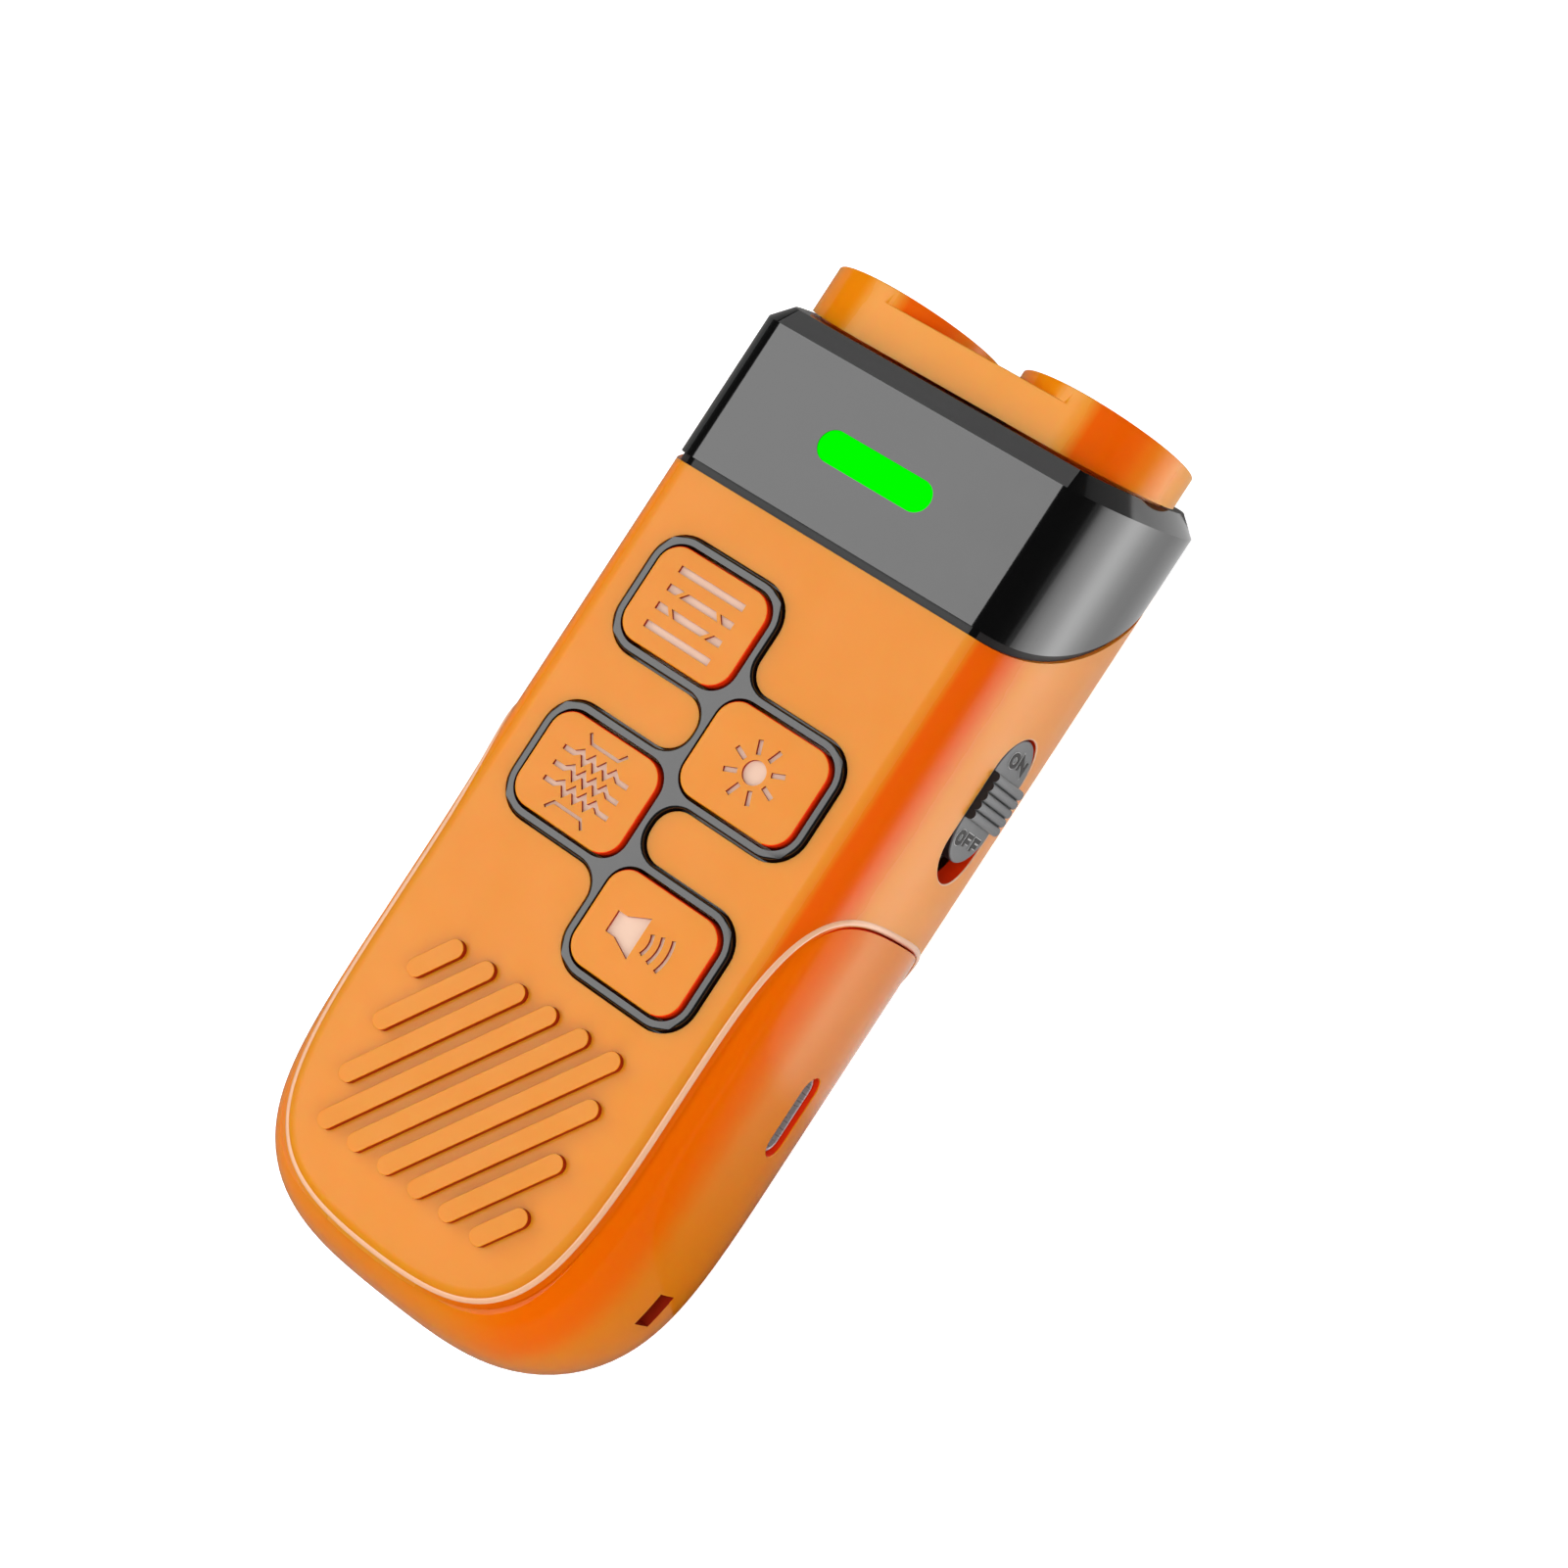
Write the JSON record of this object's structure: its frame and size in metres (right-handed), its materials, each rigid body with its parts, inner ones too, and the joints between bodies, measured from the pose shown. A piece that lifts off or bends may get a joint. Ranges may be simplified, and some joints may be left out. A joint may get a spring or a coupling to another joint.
{
  "type": "hand-held signal torch",
  "caption": "Hand-held signal torch: rounded orange case, glossy dark head band with indicator light, twin-horn head, staggered push buttons, side slide switch and charging socket.",
  "frame": {"origin": "on the flat back face, on the centre line, halfway along the case", "axes": "+X to the user's right (the side with the slide switch), +Y along the case towards the horns, +Z out of the front face with the buttons"},
  "size_m": [0.049, 0.1161, 0.0318],
  "materials": {
    "orange_plastic": "satin",
    "orange_gloss_plastic": "gloss",
    "dark_gloss_plastic": "gloss",
    "grey_plastic": "satin",
    "dark_plastic": "matte",
    "pale_plastic": "matte",
    "green_light_pipe": "gloss",
    "clear_lens": "clear",
    "led_package": "matte",
    "board_green": "satin",
    "bright_steel": "satin",
    "dark_metal": "satin",
    "mirror_metal": "mirror",
    "aluminium": "satin",
    "battery_foil": "satin"
  },
  "bodies": {
    "case": {"battery": "battery_foil", "button_frame": "dark_gloss_plastic", "circuit_board": "board_green", "front_shell": "orange_plastic", "grip_rail": "orange_gloss_plastic", "head_band": "dark_gloss_plastic", "horn_cap": "orange_plastic", "indicator_board": "board_green", "indicator_window": "green_light_pipe", "lamp_led": "led_package", "lamp_lens": "clear_lens", "lamp_reflector": "mirror_metal", "light_switch": "dark_plastic", "lower_left_screw": "bright_steel", "lower_right_screw": "bright_steel", "mode_switch": "dark_plastic", "pulse_switch": "dark_plastic", "rear_cover": "orange_plastic", "slide_switch": "bright_steel", "sound_switch": "dark_plastic", "sounder": "aluminium", "sounder_grille": "dark_metal", "upper_left_screw": "bright_steel", "upper_right_screw": "bright_steel", "usb_shell": "bright_steel", "usb_tongue": "dark_plastic"},
    "mode_button": {"mode_button": "orange_plastic", "mode_plunger": "pale_plastic"},
    "light_button": {"light_button": "orange_plastic", "light_plunger": "pale_plastic"},
    "pulse_button": {"pulse_button": "orange_plastic", "pulse_plunger": "pale_plastic"},
    "sound_button": {"sound_button": "orange_plastic", "sound_plunger": "pale_plastic"},
    "slide_knob": {"slide_knob": "grey_plastic", "slide_lever": "dark_plastic"}
  },
  "joints": [
    {"name": "mode_press", "type": "slide", "parent": "case", "child": "mode_button", "axis": [0, 0, -1], "range_m": [0, 0.0005], "stiffness_N_per_m": 1000},
    {"name": "light_press", "type": "slide", "parent": "case", "child": "light_button", "axis": [0, 0, -1], "range_m": [0, 0.0005], "stiffness_N_per_m": 1000},
    {"name": "pulse_press", "type": "slide", "parent": "case", "child": "pulse_button", "axis": [0, 0, -1], "range_m": [0, 0.0005], "stiffness_N_per_m": 1000},
    {"name": "sound_press", "type": "slide", "parent": "case", "child": "sound_button", "axis": [0, 0, -1], "range_m": [0, 0.0005], "stiffness_N_per_m": 1000},
    {"name": "power_slide", "type": "slide", "parent": "case", "child": "slide_knob", "axis": [0, -1, 0], "range_m": [0, 0.0022]}
  ]
}
